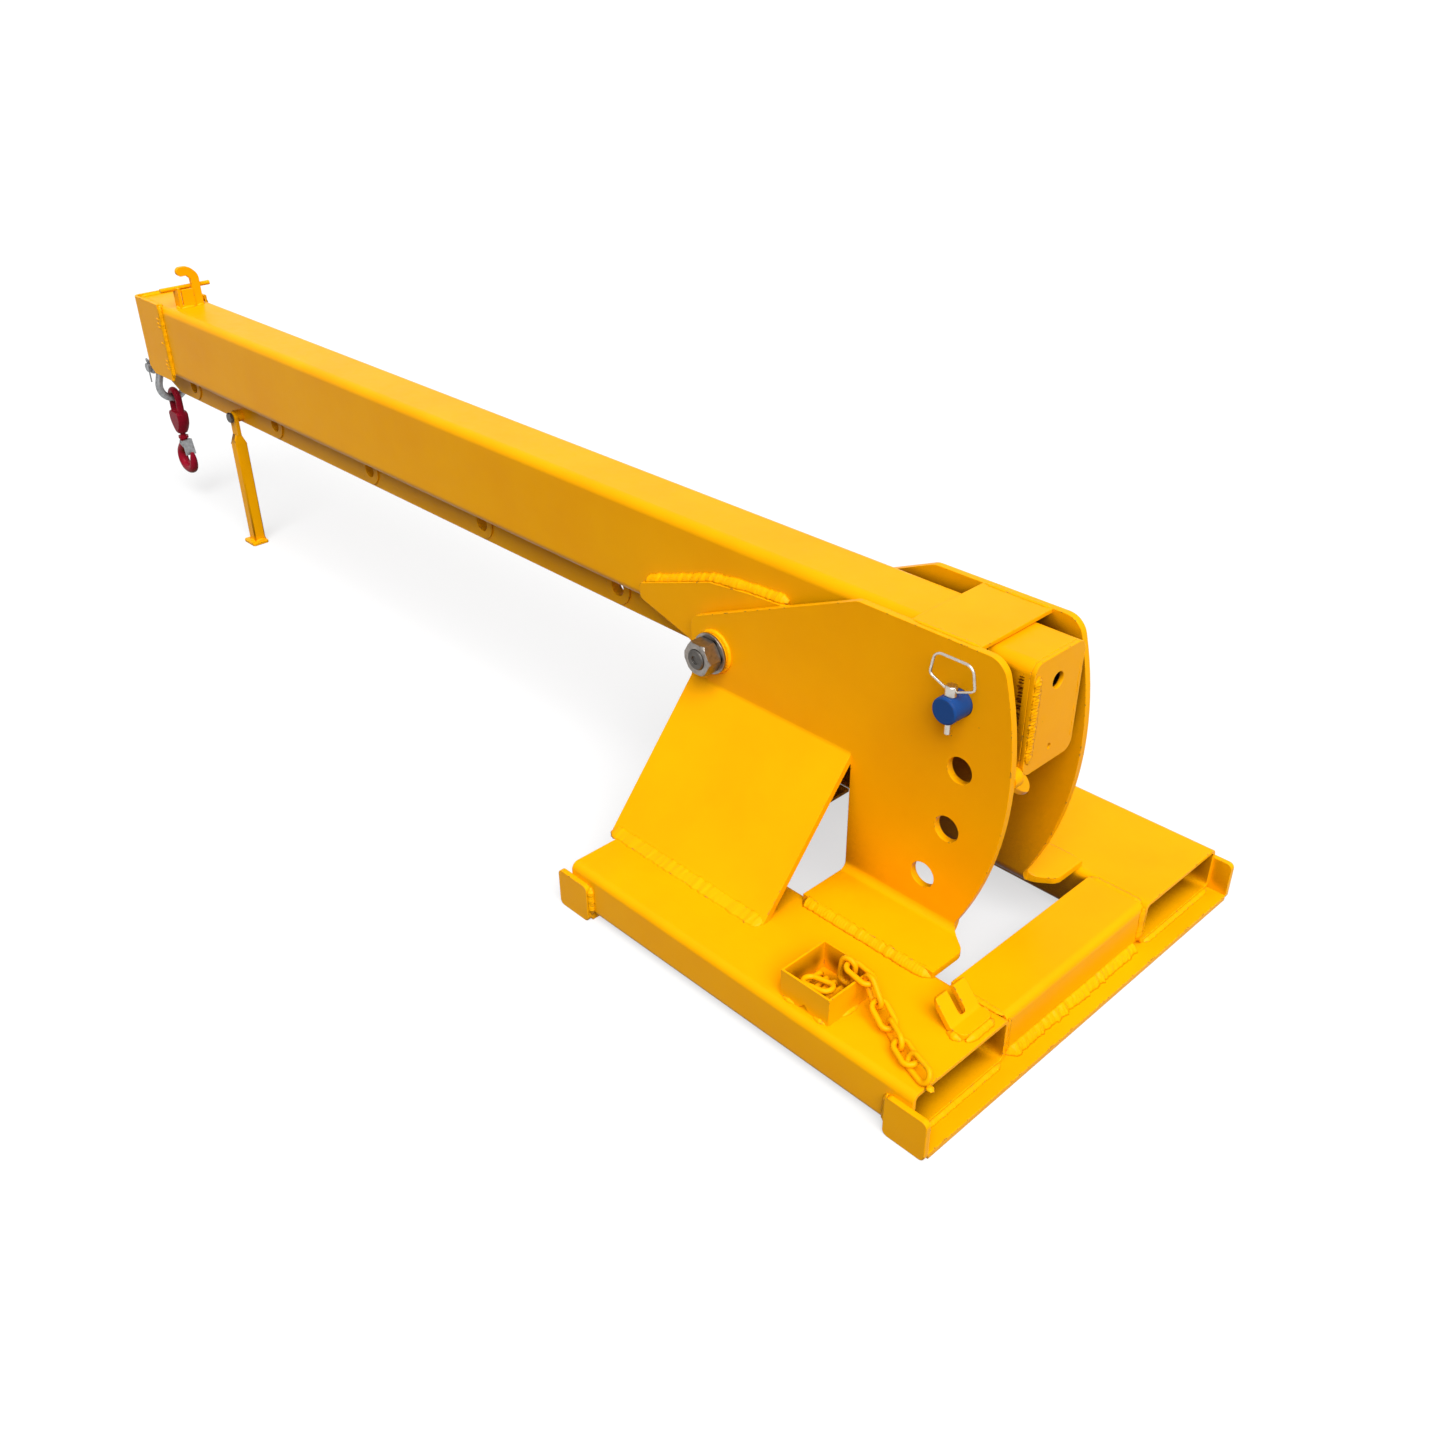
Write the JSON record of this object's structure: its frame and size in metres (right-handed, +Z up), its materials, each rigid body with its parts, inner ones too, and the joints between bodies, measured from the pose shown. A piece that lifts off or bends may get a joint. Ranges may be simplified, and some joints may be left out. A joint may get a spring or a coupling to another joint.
{
  "type": "forklift jib boom",
  "caption": "A yellow steel jib that slips over two fork blades: a boom that tilts between two bent side plates, with a hook rail, shackle, swivel hook, lock pin and folding support leg.",
  "frame": {"origin": "middle of the length and width, on the floor under the soles", "axes": "+X runs along the boom from the tail to the hook, +Y to the side of the linch pin and chain box, +Z up"},
  "size_m": [2.4865, 0.676, 0.556],
  "materials": {
    "yellow_enamel": "glossy golden-yellow enamel over welded plate",
    "bright_zinc": "bright zinc-plated bolt, nut and washer",
    "dark_steel": "dark zinc-plated small fasteners",
    "galvanised_steel": "dull galvanised forging",
    "blue_enamel": "glossy blue paint, scuffed",
    "red_enamel": "dark red paint on a forging",
    "spring_steel": "polished plated wire and pin"
  },
  "bodies": {
    "base": {"near_fork_pocket": "yellow_enamel", "far_fork_pocket": "yellow_enamel", "rear_cross_beam": "yellow_enamel", "front_cross_beam": "yellow_enamel", "rear_sole_plate": "yellow_enamel", "front_sole_plate": "yellow_enamel", "sole_end_plates": "yellow_enamel", "near_side_plate": "yellow_enamel", "far_side_plate": "yellow_enamel", "top_strap": "yellow_enamel", "guide_stub": "yellow_enamel", "pivot_boss_rings": "yellow_enamel", "pivot_bolt": "bright_zinc", "pivot_washers": "bright_zinc", "pivot_nut": "bright_zinc", "chain_box": "yellow_enamel", "chain_grab": "yellow_enamel", "chain_pile": "yellow_enamel", "chain_run": "yellow_enamel", "chain_anchor": "yellow_enamel"},
    "boom": {"boom_tube": "yellow_enamel", "boom_tail_tube": "yellow_enamel", "tail_end_plate": "yellow_enamel", "nose_wrap": "yellow_enamel", "hook_rail": "yellow_enamel", "rail_eye_pads": "yellow_enamel", "near_cheek_plate": "yellow_enamel", "far_cheek_plate": "yellow_enamel", "pivot_bush": "yellow_enamel", "tip_bracket": "yellow_enamel", "tip_hook_bar": "yellow_enamel", "tip_cross_rod": "yellow_enamel", "leg_bolt": "dark_steel", "leg_nut": "dark_steel", "leg_spacer": "yellow_enamel"},
    "support_leg": {"leg_tube": "yellow_enamel", "leg_tongue": "yellow_enamel", "leg_foot_plate": "yellow_enamel"},
    "lock_pin": {"lock_pin": "blue_enamel"},
    "linch_pin": {"linch_pin": "spring_steel"},
    "linch_ring": {"linch_ring": "spring_steel"},
    "shackle": {"shackle_bow": "galvanised_steel", "shackle_pin": "dark_steel", "shackle_nut": "dark_steel", "shackle_cotter": "dark_steel"},
    "hook_eye": {"hook_eye": "red_enamel"},
    "hook": {"hook_body": "red_enamel", "latch_pin": "galvanised_steel"},
    "hook_latch": {"hook_latch": "galvanised_steel"}
  },
  "joints": [
    {"name": "boom_tilt", "type": "hinge", "parent": "base", "child": "boom", "pos_m": [-0.64325, 0, 0.322], "axis": [0, -1, 0], "range_deg": [0, 37.5]},
    {"name": "leg_fold", "type": "hinge", "parent": "boom", "child": "support_leg", "pos_m": [0.86375, 0.023, 0.28], "axis": [0, 1, 0], "range_deg": [0, 90]},
    {"name": "lock_pin_pull", "type": "slide", "parent": "base", "child": "lock_pin", "axis": [0, 1, 0], "range_m": [0, 0.235]},
    {"name": "linch_pin_lift", "type": "slide", "parent": "lock_pin", "child": "linch_pin", "axis": [0, 0, 1], "range_m": [0, 0.06]},
    {"name": "linch_ring_swing", "type": "hinge", "parent": "linch_pin", "child": "linch_ring", "pos_m": [-1.05083, 0.098, 0.43422], "axis": [-1, 0, 0], "range_deg": [-15, 90]},
    {"name": "shackle_swing", "type": "hinge", "parent": "boom", "child": "shackle", "pos_m": [1.20475, 0, 0.317], "axis": [0, -1, 0], "range_deg": [-20, 100]},
    {"name": "hook_eye_swing", "type": "hinge", "parent": "shackle", "child": "hook_eye", "pos_m": [1.20475, 0, 0.269], "axis": [1, 0, 0], "range_deg": [-30, 30]},
    {"name": "hook_swivel", "type": "hinge", "parent": "hook_eye", "child": "hook", "pos_m": [1.20475, 0, 0.15], "axis": [0, 0, 1], "continuous": true},
    {"name": "latch_open", "type": "hinge", "parent": "hook", "child": "hook_latch", "pos_m": [1.20075, 0, 0.137], "axis": [0, -1, 0], "range_deg": [0, 40], "stiffness_Nm_per_rad": 0.05, "springref_deg": -20.05}
  ]
}
